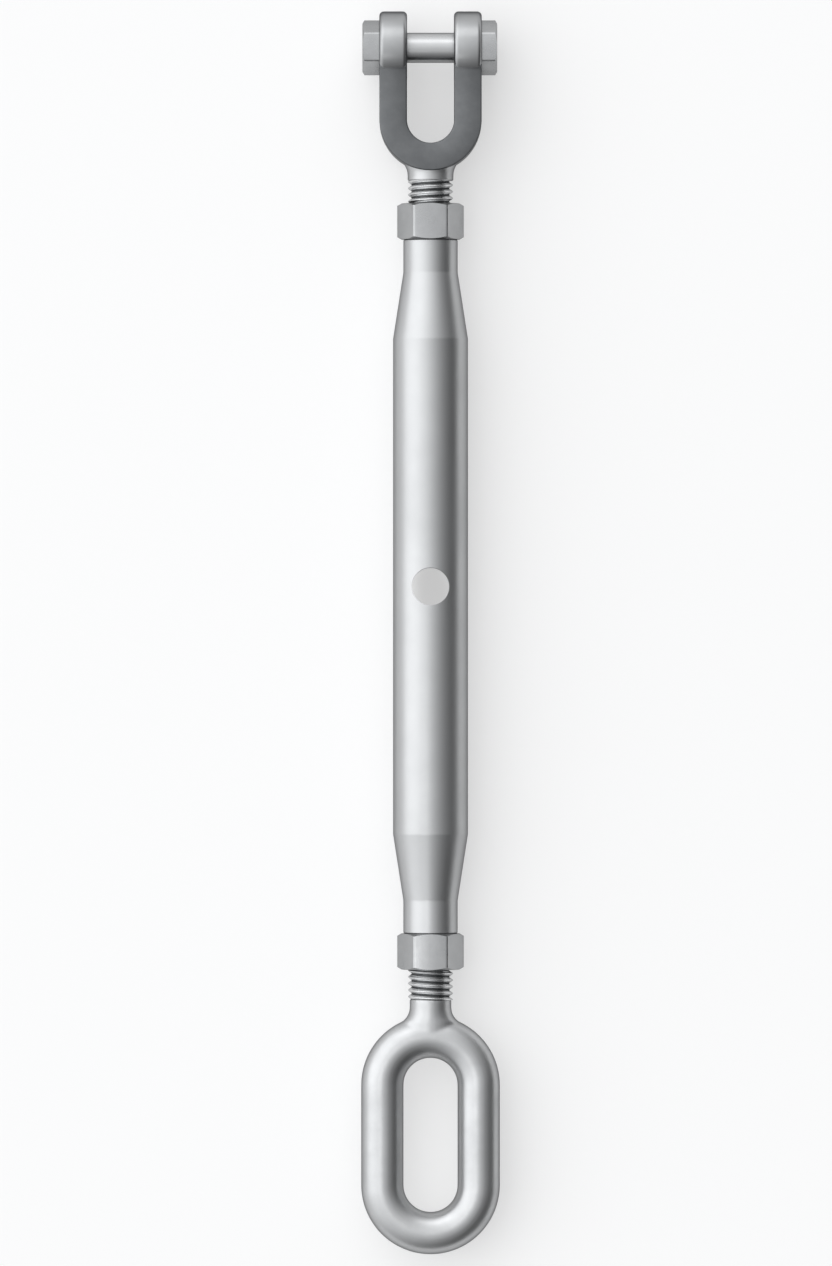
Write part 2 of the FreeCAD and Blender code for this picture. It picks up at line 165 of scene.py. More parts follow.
def put_in_scene(name: str, data: bpy.types.ID) -> bpy.types.Object:
    """Make an object and link it to the scene.

    Args:
        name: name of the object.
        data: its mesh, lamp or camera.

    Returns:
        The object, at the origin.
    """
    made = bpy.data.objects.new(name, data)
    bpy.context.scene.collection.objects.link(made)
    return made


def feed(tree: Tree, node: bpy.types.Node, inputs: Inputs) -> None:
    """Set or link the inputs of a node.

    Args:
        tree: the tree that the node is in.
        node: the node.
        inputs: for each input a value or the output that feeds it.
    """
    for name, given in inputs.items():
        if isinstance(given, Socket):
            tree.links.new(given, node.inputs[name])
        else:
            node.inputs[name].default_value = given


def add_node(tree: Tree, kind: str, inputs: Inputs, **options: str) -> bpy.types.Node:
    """Add a shader node and feed it.

    Args:
        tree: the tree to add it to.
        kind: type of the node, without the prefix that all share.
        inputs: for each input a value or the output that feeds it.
        options: settings of the node, made before its inputs are looked up.

    Returns:
        The node.
    """
    made = tree.nodes.new("ShaderNode" + kind)
    for name, value in options.items():
        setattr(made, name, value)
    feed(tree, made, inputs)
    return made


def steel_grey(level: float) -> tuple[float, float, float, float]:
    """Mix the faintly blue grey of bare steel."""
    return (level, level + 0.005, level + 0.01, 1.0)


@dataclass(frozen=True)
class SteelFinish:
    """A bare stainless finish: two close greys, uneven polish and a directed grain.

    Attributes:
        name: name of the material.
        bright: grey level of the polished metal.
        dull: grey level of its duller patches.
        gloss: lowest roughness.
        haze: highest roughness.
        grain: repeats of the grain per millimetre along X, Y and Z.
        relief: height of the grain.
        mottle: repeats of the dull patches per millimetre.
        edge: reflection left at a grazing angle.
    """

    name: str
    bright: float
    dull: float
    gloss: float
    haze: float
    grain: Triple
    relief: float
    mottle: float
    edge: float

    def material(self) -> bpy.types.Material:
        """Build the node tree, or return the one that exists.

        Returns:
            The material of this finish.
        """
        found = bpy.data.materials.get(self.name)
        if found:
            return found
        made = bpy.data.materials.new(self.name)
        made.use_nodes = True
        tree = made.node_tree
        where = add_node(tree, "TexCoord", {}).outputs["Object"]
        blotches: Inputs = {
            "Vector": where,
            "Scale": self.mottle / MM,
            "Detail": 4.0,
            "Roughness": 0.6,
        }
        patches = add_node(tree, "TexNoise", blotches).outputs["Fac"]
        repeats = [value / MM for value in self.grain]
        stretch = add_node(tree, "Mapping", {"Vector": where, "Scale": repeats})
        fibres: Inputs = {
            "Vector": stretch.outputs["Vector"],
            "Scale": 1.0,
            "Detail": 5.0,
            "Roughness": 0.65,
        }
        grain = add_node(tree, "TexNoise", fibres).outputs["Fac"]
        bump: Inputs = {"Height": grain, "Strength": 0.6, "Distance": self.relief * MM}
        metal: Inputs = {
            "Metallic": 1.0,
            "Specular Tint": (self.edge, self.edge, self.edge, 1.0),
            "Base Color": self._tint(tree, patches),
            "Roughness": self._polish(tree, patches, grain),
            "Normal": add_node(tree, "Bump", bump).outputs["Normal"],
        }
        feed(tree, tree.nodes["Principled BSDF"], metal)
        return made

    def _tint(self, tree: Tree, patches: Socket) -> Socket:
        """Blend the bright and the dull grey.

        Args:
            tree: node tree of the material.
            patches: noise of the dull patches.

        Returns:
            The colour.
        """
        middle: Inputs = {"Value": patches, "From Min": 0.35, "From Max": 0.65}
        greys: Inputs = {
            "A": steel_grey(self.bright),
            "B": steel_grey(self.dull),
            "Factor": add_node(tree, "MapRange", middle).outputs["Result"],
        }
        return add_node(tree, "Mix", greys, data_type="RGBA").outputs["Result"]

    def _polish(self, tree: Tree, patches: Socket, grain: Socket) -> Socket:
        """Make the polish uneven by both noises.

        Args:
            tree: node tree of the material.
            patches: noise of the dull patches.
            grain: noise of the grain.

        Returns:
            The roughness.
        """
        both = add_node(tree, "Math", {0: patches, 1: grain}, operation="ADD")
        spread: Inputs = {
            "Value": both.outputs["Value"],
            "From Min": 0.7,
            "From Max": 1.3,
            "To Min": self.gloss,
            "To Max": self.haze,
        }
        return add_node(tree, "MapRange", spread).outputs["Result"]


DRAWN = SteelFinish(
    name="drawn_satin_steel",
    bright=0.51,
    dull=0.48,
    gloss=0.33,
    haze=0.40,
    grain=(12.0, 0.4, 12.0),
    relief=0.0015,
    mottle=0.05,
    edge=0.25,
)
FORGED = SteelFinish(
    name="forged_polished_steel",
    bright=0.53,
    dull=0.49,
    gloss=0.33,
    haze=0.41,
    grain=(4.0, 4.0, 4.0),
    relief=0.003,
    mottle=0.15,
    edge=0.10,
)
# Painted shade: the jaw's ears take a darker grey than the neck of the same forging,
# standing in for the shade on them.
EAR_SHADE = SteelFinish(
    name="forged_steel_ear_painted_shade",
    bright=0.40,
    dull=0.37,
    gloss=0.28,
    haze=0.35,
    grain=(4.0, 4.0, 4.0),
    relief=0.002,
    mottle=0.15,
    edge=0.10,
)
# Painted shade: the jaw's fork takes a far darker grey than its ears and neck, though
# all are one forging, standing in for the shade on its flat arms.
FORK_SHADE = SteelFinish(
    name="forged_steel_fork_painted_shade",
    bright=0.165,
    dull=0.145,
    gloss=0.32,
    haze=0.42,
    grain=(5.0, 5.0, 5.0),
    relief=0.004,
    mottle=0.25,
    edge=0.50,
)
# Painted shade: the bottoms of the threads' grooves take a dark grey, standing in for
# the shade between the crests.
GROOVE_SHADE = SteelFinish(
    name="groove_painted_shade_steel",
    bright=0.22,
    dull=0.15,
    gloss=0.38,
    haze=0.48,
    grain=(6.0, 6.0, 6.0),
    relief=0.001,
    mottle=0.3,
    edge=0.2,
)
MACHINED = SteelFinish(
    name="machined_bright_steel",
    bright=0.43,
    dull=0.39,
    gloss=0.24,
    haze=0.28,
    grain=(3.0, 3.0, 3.0),
    relief=0.0005,
    mottle=0.2,
    edge=0.40,
)
# Painted highlight: the crests of the jaw's and the eye's threads take a lighter grey
# than the forgings they are rolled on.
THREAD_LIGHT = SteelFinish(
    name="rolled_thread_painted_light_steel",
    bright=0.66,
    dull=0.62,
    gloss=0.22,
    haze=0.30,
    grain=(6.0, 6.0, 6.0),
    relief=0.001,
    mottle=0.3,
    edge=0.60,
)
GROUND = SteelFinish(
    name="ground_shank_steel",
    bright=0.53,
    dull=0.50,
    gloss=0.26,
    haze=0.32,
    grain=(0.5, 8.0, 8.0),
    relief=0.0008,
    mottle=0.2,
    edge=0.15,
)


class Workpiece:
    """A mesh in the making, in millimetres for the fitting."""

    def __init__(self) -> None:
        """Start with nothing."""
        self.mesh = bmesh.new()

    def draw(self, corners: Iterable[Vector], closed: bool) -> list[Vertex]:
        """Draw a line of edges.

        Args:
            corners: corners of the line.
            closed: whether the last corner joins the first.

        Returns:
            The new vertices in order.
        """
        made = [self.mesh.verts.new(corner) for corner in corners]
        for first, second in zip(made, made[1:]):
            self.mesh.edges.new((first, second))
        if closed:
            self.mesh.edges.new((made[-1], made[0]))
        return made

    def soften(
        self, what: Rounded, items: list[Vertex] | list[Edge], radius: float, steps: int
    ) -> None:
        """Round corners of a drawn line or edges of a closed mesh.

        Args:
            what: which of the two.
            items: those corners or edges.
            radius: size of the rounding.
            steps: facets in it.
        """
        bmesh.ops.bevel(
            self.mesh,
            geom=items,
            offset=radius,
            offset_type="OFFSET",
            segments=steps,
            profile=0.5,
            affect=what.value,
            clamp_overlap=what is Rounded.EDGES,
            material=-1,
        )

    def turn(self, axis: Axis, facets: int = ROUND) -> "Workpiece":
        """Spin everything drawn once round an axis.

        Args:
            axis: axis of the lathe.
            facets: facets round the piece.

        Returns:
            This workpiece, closed and facing outwards.
        """
        bmesh.ops.spin(
            self.mesh,
            geom=self.mesh.verts[:] + self.mesh.edges[:],
            cent=(0.0, 0.0, 0.0),
            axis=axis.value,
            dvec=(0.0, 0.0, 0.0),
            angle=math.tau,
            steps=facets,
            use_merge=True,
        )
        return self.tidy()

    def bend(self, section: list[Edge], centre: float, clockwise: bool) -> list[Edge]:
        """Sweep a section half a turn round a centre on the long axis.

        Args:
            section: loop of edges to sweep.
            centre: distance of the centre along Y.
            clockwise: whether it turns clockwise, seen from above.

        Returns:
            The loop at the end of the bend.
        """
        ends = dict.fromkeys(end for edge in section for end in edge.verts)
        swept = bmesh.ops.spin(
            self.mesh,
            geom=section + list(ends),
            cent=(0.0, centre, 0.0),
            axis=(0.0, 0.0, -1.0 if clockwise else 1.0),
            dvec=(0.0, 0.0, 0.0),
            angle=math.pi,
            steps=BEND,
            use_merge=False,
        )
        return pick(Edge, swept["geom_last"])

    def pull(self, section: list[Edge], travel: float, steps: int = 1) -> list[Edge]:
        """Draw a section out straight along Y.

        Args:
            section: loop of edges to draw out.
            travel: how far, with its sign.
            steps: lengths that the run is divided into.

        Returns:
            The loop at the end of the run.
        """
        for _ in range(steps):
            grown = bmesh.ops.extrude_edge_only(self.mesh, edges=section)["geom"]
            ends = pick(Vertex, grown)
            bmesh.ops.translate(self.mesh, verts=ends, vec=(0.0, travel / steps, 0.0))
            fresh = set(ends)
            drawn = pick(Edge, grown)
            section = [edge for edge in drawn if fresh.issuperset(edge.verts)]
        return section

    def tidy(self) -> "Workpiece":
        """Merge doubles and turn every face outwards.

        Returns:
            This workpiece.
        """
        mesh = self.mesh
        bmesh.ops.remove_doubles(mesh, verts=mesh.verts[:], dist=WELD)
        bmesh.ops.dissolve_degenerate(mesh, edges=mesh.edges[:], dist=WELD / 10)
        bmesh.ops.recalc_face_normals(mesh, faces=mesh.faces[:])
        return self

    def shift(self, offset: Vector) -> "Workpiece":
        """Move everything by an offset."""
        bmesh.ops.translate(self.mesh, verts=self.mesh.verts[:], vec=offset)
        return self

    def add(self, other: "Workpiece", first: Surface = Surface.MAIN) -> "Workpiece":
        """Lay another workpiece into this one as a shell of its own.

        Args:
            other: the piece to lay in.
            first: place of its first finish.

        Returns:
            This workpiece with both.
        """
        for face in other.mesh.faces:
            face.material_index += first
        carrier = other.to_mesh("carrier")
        self.mesh.from_mesh(carrier)
        bpy.data.meshes.remove(carrier)
        return self

    def to_mesh(self, name: str) -> bpy.types.Mesh:
        """Copy the workpiece into mesh data.

        Args:
            name: name of the data.

        Returns:
            The data.
        """
        data = bpy.data.meshes.new(name)
        self.mesh.to_mesh(data)
        return data

    def to_object(self, name: str) -> bpy.types.Object:
        """Put a copy of the workpiece into the scene."""
        return put_in_scene(name, self.to_mesh(name))

    def take_from(self, bench: bpy.types.Object) -> "Workpiece":
        """Take over what a bench object's modifiers give, and clear the bench.

        Args:
            bench: the object.

        Returns:
            This workpiece with the result.
        """
        depsgraph = bpy.context.evaluated_depsgraph_get()
        data = bpy.data.meshes.new_from_object(bench.evaluated_get(depsgraph))
        self.mesh.clear()
        self.mesh.from_mesh(data)
        bpy.data.meshes.remove(data)
        clear_bench(bench)
        return self

    def combine(self, other: "Workpiece", how: Join) -> "Workpiece":
        """Combine with another closed workpiece.

        Args:
            other: the second piece.
            how: what to keep of the two.

        Returns:
            This workpiece with the result.
        """
        bench = self.to_object("bench")
        tool = other.to_object("tool")
        joint = bench.modifiers.new("joint", "BOOLEAN")
        joint.operation = how.value
        joint.solver = "EXACT"
        joint.object = tool
        self.take_from(bench)
        clear_bench(tool)
        return self.tidy()

    def fuse(self, grain: float, passes: int) -> "Workpiece":
        """Melt overlapping shells into one skin with soft blends, as a forging has.

        Args:
            grain: size of the skin's facets.
            passes: smoothing passes over the skin.

        Returns:
            This workpiece with the result.
        """
        bench = self.to_object("bench")
        skin = bench.modifiers.new("skin", "REMESH")
        skin.mode = "VOXEL"
        skin.voxel_size = grain
        skin.use_smooth_shade = True
        ease = bench.modifiers.new("ease", "SMOOTH")
        ease.factor = 0.5
        ease.iterations = passes
        return self.take_from(bench)


def clear_bench(bench: bpy.types.Object) -> None:
    """Remove a helper object and its mesh.

    Args:
        bench: the object.
    """
    data = bench.data
    bpy.data.objects.remove(bench)
    bpy.data.meshes.remove(data)


def lathe(
    outline: Iterable[Point], axis: Axis, facets: int = ROUND, closed: bool = False
) -> Workpiece:
    """Turn an outline round an axis.

    Args:
        outline: radius of each corner and its distance along the axis.
        axis: axis of the lathe.
        facets: facets round the piece.
        closed: whether the outline is that of a ring.

    Returns:
        The closed piece.
    """
    piece = Workpiece()
    piece.draw([axis.place(*corner) for corner in outline], closed)
    return piece.turn(axis, facets)


@dataclass
class Thread:
    """A rolled screw thread with rounded crests and roots, closed by flat ends.

    Attributes:
        crest: outer radius.
        pitch: advance of one turn.
        start: distance along the axis of the thread's tip.
        end: distance along the axis where it runs into the neck or shank.
        tip: bevel at the start.
        axis: axis of the screw.
        hand: hand of the thread.
        facets: facets in one turn.
    """

    crest: float
    pitch: float
    start: float
    end: float
    tip: float
    axis: Axis
    hand: Hand
    facets: int = 40

    def build(self) -> Workpiece:
        """Wind the form round the axis, cut it square at both ends and bevel its tip.

        Returns:
            The closed thread.
        """
        piece = Workpiece()
        lower = min(self.start, self.end)
        upper = max(self.start, self.end)
        foot = lower - SPARE_TURNS * self.pitch
        corners = [
            (self.crest - depth * self.pitch, foot + advance * self.pitch)
            for depth, advance in THREAD_FORM
        ]
        piece.draw([self.axis.place(*corner) for corner in corners], closed=False)
        bmesh.ops.spin(
            piece.mesh,
            geom=piece.mesh.verts[:] + piece.mesh.edges[:],
            cent=(0.0, 0.0, 0.0),
            axis=[self.hand.value * value for value in self.axis.value],
            dvec=self.axis.place(0.0, self.pitch / self.facets),
            angle=math.tau,
            steps=self.facets,
            use_merge=False,
        )
        self._repeat(piece, math.ceil((upper - foot) / self.pitch) + 1)
        self._shade_grooves(piece)
        self._square(piece, lower, -1.0)
        self._square(piece, upper, 1.0)
        self._bevel_tip(piece)
        return piece.tidy()

    def _repeat(self, piece: Workpiece, turns: int) -> None:
        """Double the first turn along the axis until there are enough.

        Args:
            piece: the first turn.
            turns: how many there have to be.
        """
        mesh = piece.mesh
        wound = 1
        while wound < turns:
            everything = mesh.verts[:] + mesh.edges[:] + mesh.faces[:]
            copied = bmesh.ops.duplicate(mesh, geom=everything)["geom"]
            advance = self.axis.place(0.0, wound * self.pitch)
            bmesh.ops.translate(mesh, verts=pick(Vertex, copied), vec=advance)
            wound *= 2
        bmesh.ops.remove_doubles(mesh, verts=mesh.verts[:], dist=SEAM)

    def _shade_grooves(self, piece: Workpiece) -> None:
        """Give the bottom of each groove the finish after the crest's, a dark grey that
        paints the shade in the groove.

        Args:
            piece: the wound thread.
        """
        limit = self.crest - SHADE_DEPTH * self.pitch
        for face in piece.mesh.faces:
            centre = face.calc_center_median()
            arm = centre - self.axis.foot(centre)
            face.material_index = int(arm.length < limit)

    def _square(self, piece: Workpiece, distance: float, side: float) -> None:
        """Cut the thread square and cap it with the crest's finish.

        Args:
            piece: the wound thread.
            distance: distance of the cut along the axis.
            side: 1 to cut off what is further on, -1 for what is before.
        """
        mesh = piece.mesh
        cut = bmesh.ops.bisect_plane(
            mesh,
            geom=mesh.verts[:] + mesh.edges[:] + mesh.faces[:],
            dist=WELD,
            plane_co=self.axis.place(0.0, distance),
            plane_no=[side * value for value in self.axis.value],
            clear_outer=True,
        )
        rim = pick(Edge, cut["geom_cut"])
        for face in bmesh.ops.contextual_create(mesh, geom=rim)["faces"]:
            face.material_index = 0

    def _bevel_tip(self, piece: Workpiece) -> None:
        """Draw the crests in to a cone at the screw's tip.

        Args:
            piece: the thread between its two caps.
        """
        inwards = math.copysign(1.0, self.end - self.start)
        for vertex in piece.mesh.verts:
            foot = self.axis.foot(vertex.co)
            arm = vertex.co - foot
            depth = (self.axis.distance(foot) - self.start) * inwards
            limit = self.crest - self.tip + max(depth, 0.0)
            if depth <= self.tip and arm.length > limit:
                vertex.co = foot + arm * (limit / arm.length)


@dataclass
class Hexagon:
    """A hexagon blank with its corners turned to a cone, as on nuts and bolt heads.

    Attributes:
        flats: width across flats.
        start: distance along the axis of one end face.
        end: distance along the axis of the other, further on.
        axis: axis of the blank.
        bore: radius of the hole, or 0 for none.
        turned_start: whether the corners are turned at the start.
        turned_end: whether the corners are turned at the end.
        crown: rise of each side in its middle.
        corner: rounding of the long edges.
        spare: length of the bar beyond each end, to be cut off.
        mouth: chamfer of the hole.
        face_share: radius of a turned end face, as a share of half the flats.
        blank_share: radius of the turned blank, as a share of the flats.
        slope: slope of a turned corner in degrees.
    """

    flats: float
    start: float
    end: float
    axis: Axis
    bore: float = 0.0
    turned_start: bool = True
    turned_end: bool = True
    crown: float = 0.2
    corner: float = 0.3
    spare: float = 2.0
    mouth: float = 0.35
    face_share: float = 0.99
    blank_share: float = 0.62
    slope: float = 30.0

    def build(self) -> Workpiece:
        """Cut a hexagon bar by a turned blank."""
        return self._bar().combine(self._blank(), Join.COMMON)

    def _bar(self) -> Workpiece:
        """Make a hexagon bar with slightly crowned sides and rounded long edges.

        Returns:
            The bar, longer than the blank, with two corners level with the floor.
        """
        bar = Workpiece()
        bar.draw(self._section(), closed=True)
        bmesh.ops.contextual_create(bar.mesh, geom=bar.mesh.edges[:])
        pulled = bmesh.ops.extrude_face_region(bar.mesh, geom=bar.mesh.faces[:])
        length = self.axis.place(0.0, self.end - self.start + 2 * self.spare)
        far_end = pick(Vertex, pulled["geom"])
        bmesh.ops.translate(bar.mesh, verts=far_end, vec=length)
        bar.tidy()
        corners = [edge for edge in bar.mesh.edges if self._is_corner(edge)]
        bar.soften(Rounded.EDGES, corners, self.corner, 3)
        return bar

    def _section(self) -> list[Vector]:
        """Work out the corners of the bar's near end.

        Returns:
            The corners in order, with a shallow parabola along each of the six sides.
        """
        middle = Vector(self.axis.value)
        outwards = self.axis.place(1.0, 0.0)
        sideways = middle.cross(outwards)
        near = self.axis.place(0.0, self.start - self.spare)
        high = (self.flats + self.crown) / 2
        half_side = (high - self.crown) * math.tan(math.radians(30))
        steps = 6  # in half a side
        corners: list[Vector] = []
        for angle in range(30, 390, 60):
            turned = Matrix.Rotation(math.radians(angle), 3, middle)
            for step in range(-steps, steps):
                share = step / steps
                depth = high - self.crown * share**2
                across = half_side * share
                corners.append(near + turned @ (outwards * depth + sideways * across))
        return corners

    def _is_corner(self, edge: Edge) -> bool:
        """Say whether an edge is a long corner of the bar."""
        ends = [self.axis.distance(vertex.co) for vertex in edge.verts]
        return abs(ends[0] - ends[1]) > self.spare and edge.calc_face_angle(0.0) > SHARP

    def _blank(self) -> Workpiece:
        """Turn a ring or plug whose ends slope outside the flats.

        Returns:
            The blank.
        """
        face = self.flats / 2.0 * self.face_share
        reach = self.flats * self.blank_share
        drop = (reach - face) * math.tan(math.radians(self.slope))
        lower: list[Point] = [(reach, self.start)]
        upper: list[Point] = [(reach, self.end)]
        if self.turned_start:
            lower = [(face, self.start), (reach, self.start + drop)]
        if self.turned_end:
            upper = [(reach, self.end - drop), (face, self.end)]
        if not self.bore:
            outline = [(0.0, self.start), *lower, *upper, (0.0, self.end)]
            return lathe(outline, self.axis)
        hole = [
            (self.bore + self.mouth, self.end),
            (self.bore, self.end - self.mouth),
            (self.bore, self.start + self.mouth),
            (self.bore + self.mouth, self.start),
        ]
        return lathe(lower + upper + hole, self.axis, closed=True)


@dataclass(frozen=True)
class Stem:
    """Neck and screw of an end fitting.

    Attributes:
        hand: hand of the screw.
        neck: radius of the neck.
        shoulder: distance along Y where the neck starts.
        flare: growth of the neck's radius and distance from its shoulder, in order.
        start: distance along Y of the screw's tip.
        overlap: how far the screw reaches into the neck.
        crest: outer radius of the screw.
        pitch: advance of one turn.
        tip: bevel of the screw's tip.
    """

    hand: Hand
    neck: float
    shoulder: float
    flare: tuple[Point, ...]
    start: float
    overlap: float
    crest: float = 6.0
    pitch: float = 1.75
    tip: float = 1.0

    def beyond(self, run: float) -> float:
        """Find the place along Y at a run beyond the shoulder."""
        return self.shoulder + math.copysign(run, self.shoulder)

    def turn_neck(self) -> Workpiece:
        """Turn the neck, flared where it runs into the forging.

        Returns:
            The closed neck.
        """
        side = [(self.neck + growth, self.beyond(run)) for growth, run in self.flare]
        return lathe([(0.0, self.shoulder), *side, (0.0, side[-1][1])], Axis.ALONG)

    def roll_screw(self) -> Workpiece:
        """Roll the screw.

        Returns:
            The closed thread.
        """
        screw = Thread(
            crest=self.crest,
            pitch=self.pitch,
            start=self.start,
            end=self.beyond(self.overlap),
            tip=self.tip,
            axis=Axis.ALONG,
            hand=self.hand,
        )
        return screw.build()


@dataclass
class SubAssembly:
    """One rigid piece of the fitting.

    Attributes:
        node: the solid that it stands for, which is its body's name too.
        slot: material slot of the record; not used.
        finishes: its finishes, at the places that Surface names.
        crisp: angle in degrees above which an edge shades sharp.
    """

    node: str
    slot: str
    finishes: tuple[SteelFinish, ...]
    crisp: float = 28.0

    def build(self) -> Workpiece:
        """Make the piece in millimetres."""
        raise NotImplementedError

    def dress(self) -> bpy.types.Object:
        """Build the piece, give it its finishes and let it ride on its body.

        Returns:
            The finished object, at the origin and in metres.
        """
        piece = self.build()
        bmesh.ops.scale(piece.mesh, vec=(MM, MM, MM), verts=piece.mesh.verts[:])
        name = self.node + "_piece"
        data = piece.to_mesh(name)
        data.shade_smooth()
        data.set_sharp_from_angle(angle=math.radians(self.crisp))
        for finish in self.finishes:
            data.materials.append(finish.material())
        made = put_in_scene(name, data)
        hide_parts(self.node)
        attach(made, self.node)
        return made


@dataclass
class SwagedBody(SubAssembly):
    """Closed tube, swaged to a cone and a neck at each end, with a cross hole.

    Widths are radii, and places are distances from the middle.
    """

    end: float = BODY_END
    tube: float = 10.0
    hollow: float = 7.5
    neck: float = 7.25
    bore: float = 6.05
    cone_top: float = 83.7
    cone_foot: float = 66.0
    tapped_end: float = 72.5
    hollow_end: float = 64.5
    clear: float = 7.0  # kept free of corners for the hole
    broken: float = 0.3  # chamfer of the end face
    mouth: float = 0.3  # chamfer of the bore
    ease: float = 0.15  # half the length of a cone's soft edges
    ease_rise: float = 0.023  # what the cone rises in that length
    hole: float = 5.0
    rim: float = 0.3  # rounding of the hole's rims
    facets: int = 128

    def build(self) -> Workpiece:
        """Turn the wall, drill it and round the hole's rims.

        Returns:
            The closed tube.
        """
        half: list[Point] = [
            (self.hollow, self.clear),
            (self.hollow, self.hollow_end),
            (self.bore, self.tapped_end),
            (self.bore, self.end - self.mouth),
            (self.bore + self.mouth, self.end),
            (self.neck - self.broken, self.end),
            (self.neck, self.end - self.broken),
            (self.neck, self.cone_top + self.ease),
            (self.neck + self.ease_rise, self.cone_top - self.ease),
            (self.tube - self.ease_rise, self.cone_foot + self.ease),
            (self.tube, self.cone_foot - self.ease),
            (self.tube, self.clear),
        ]
        other = [(radius, -distance) for radius, distance in reversed(half)]
        wall = lathe(half + other, Axis.ALONG, self.facets, closed=True)
        drill = Workpiece()
        bmesh.ops.create_cone(
            drill.mesh,
            cap_ends=True,
            segments=ROUND,
            radius1=self.hole,
            radius2=self.hole,
            depth=self.tube * 3,
        )
        wall.combine(drill, Join.CUT)
        rims = [edge for edge in wall.mesh.edges if self._on_rim(edge)]
        wall.soften(Rounded.EDGES, rims, self.rim, 3)
        return wall

    def _on_rim(self, edge: Edge) -> bool:
        """Say whether an edge lies on the outer saddle of the hole.

        Args:
            edge: an edge of the drilled wall.

        Returns:
            Whether both its ends are on the hole's wall and on the tube's outside.
        """
        return all(
            abs(math.hypot(end.co.x, end.co.y) - self.hole) <= OFF_HOLE
            and abs(math.hypot(end.co.x, end.co.z) - self.tube) <= OFF_TUBE
            for end in edge.verts
        )


@dataclass
class JawFitting(SubAssembly):
    """Forged fork with round ears, its neck and its right-hand screw."""

    bolt_axis: float = BOLT_AXIS
    arc_centre: float = 124.35
    gap: float = 12.5  # between the ears
    ear: float = 7.4  # thickness
    ear_radius: float = 9.7
    ear_rounding: float = 1.2
    bolt_hole: float = 4.05  # radius
    hole_rounding: float = 0.3
    arm_depth: float = 14.4
    arm_rounding: float = 0.45
    arm_inset: float = 0.03  # of the arms' sides from those of the ears
    arm_play: float = 0.05  # between an arm's end and the hole
    arm_steps: int = 48  # lengths in an arm
    cove: float = 1.5  # radius of the hollow edge between arm and ear
    swell: float = 0.5  # growth of an arm's half depth towards its ear
    swell_run: float = 8.0  # its length
    stem: Stem = Stem(
        hand=Hand.RIGHT,
        neck=6.1,
        shoulder=108.2,
        flare=(
            (-0.25, 0.0),
            (0.0, 0.25),
            (0.0, 1.6),
            (0.08, 2.3),
            (0.3, 3.1),
            (0.62, 3.8),
            (1.04, 4.5),
            (1.04, 5.2),
        ),
        start=12.5,
        overlap=0.1,
    )

    def build(self) -> Workpiece:
        """Join fork, ears, neck and screw.

        Returns:
            The fitting.
        """
        piece = self._fork()
        for side in (-1.0, 1.0):
            piece.add(self._ear(side), Surface.EARS)
        piece.add(self.stem.turn_neck(), Surface.NECK)
        return piece.add(self.stem.roll_screw(), Surface.THREAD)

    def _fork(self) -> Workpiece:
        """Sweep the arm's section down one side, round the arc and up the other.

        Returns:
            The closed fork, from hole to hole.
        """
        fork = Workpiece()
        inner = self.gap / 2 + self.arm_inset
        outer = self.gap / 2 + self.ear - self.arm_inset
        half = self.arm_depth / 2
        top = self.bolt_axis - self.bolt_hole - self.arm_play
        outline = ((inner, -half), (outer, -half), (outer, half), (inner, half))
        section = fork.draw([Vector((x, top, z)) for x, z in outline], closed=True)
        fork.soften(Rounded.CORNERS, section, self.arm_rounding, 3)
        drop = top - self.arc_centre
        edges = fork.pull(fork.mesh.edges[:], -drop, self.arm_steps)
        edges = fork.bend(edges, self.arc_centre, clockwise=True)
        fork.pull(edges, drop, self.arm_steps)
        rims = [edge for edge in fork.mesh.edges if edge.is_boundary]
        bmesh.ops.holes_fill(fork.mesh, edges=rims, sides=0)
        for vertex in fork.mesh.verts:
            vertex.co.z *= self._half_depth(vertex.co.y) / half
        return fork.tidy()

    def _half_depth(self, distance: float) -> float:
        """Half depth of an arm, which swells towards the ear and ends in a small cove.

        The cove's circle touches the ear's rim and the swollen arm.

        Args:
            distance: place along Y.

        Returns:
            The half depth there.
        """
        flat = self.arm_depth / 2
        span = self.cove + self.ear_radius
        reach = math.sqrt(span**2 - (self.cove + flat + self.swell) ** 2)
        foot = self.bolt_axis - reach
        top = self.bolt_axis - reach * self.ear_radius / span
        share = min(max(1.0 - (foot - distance) / self.swell_run, 0.0), 1.0)
        run = min(max(distance, foot), top) - foot
        rise = self.cove - math.sqrt(self.cove**2 - run**2)
        return flat + self.swell * share**2 + rise

    def _ear(self, side: float) -> Workpiece:
        """Turn one round ear with soft rims and its bolt hole.

        Args:
            side: 1 for the ear towards +X, -1 for the other.

        Returns:
            The closed ear in its place.
        """
        ear = Workpiece()
        axis = Axis.ACROSS
        hole, rim = self.bolt_hole, self.ear_radius
        inner, outer = side * self.gap / 2, side * (self.gap / 2 + self.ear)
        outline = ((hole, inner), (rim, inner), (rim, outer), (hole, outer))
        corners = ear.draw([axis.place(*corner) for corner in outline], closed=True)
        ear.soften(Rounded.CORNERS, corners[1:3], self.ear_rounding, 6)
        ear.soften(Rounded.CORNERS, [corners[0], corners[3]], self.hole_rounding, 2)
        return ear.turn(axis).shift(Vector((0.0, self.bolt_axis, 0.0)))


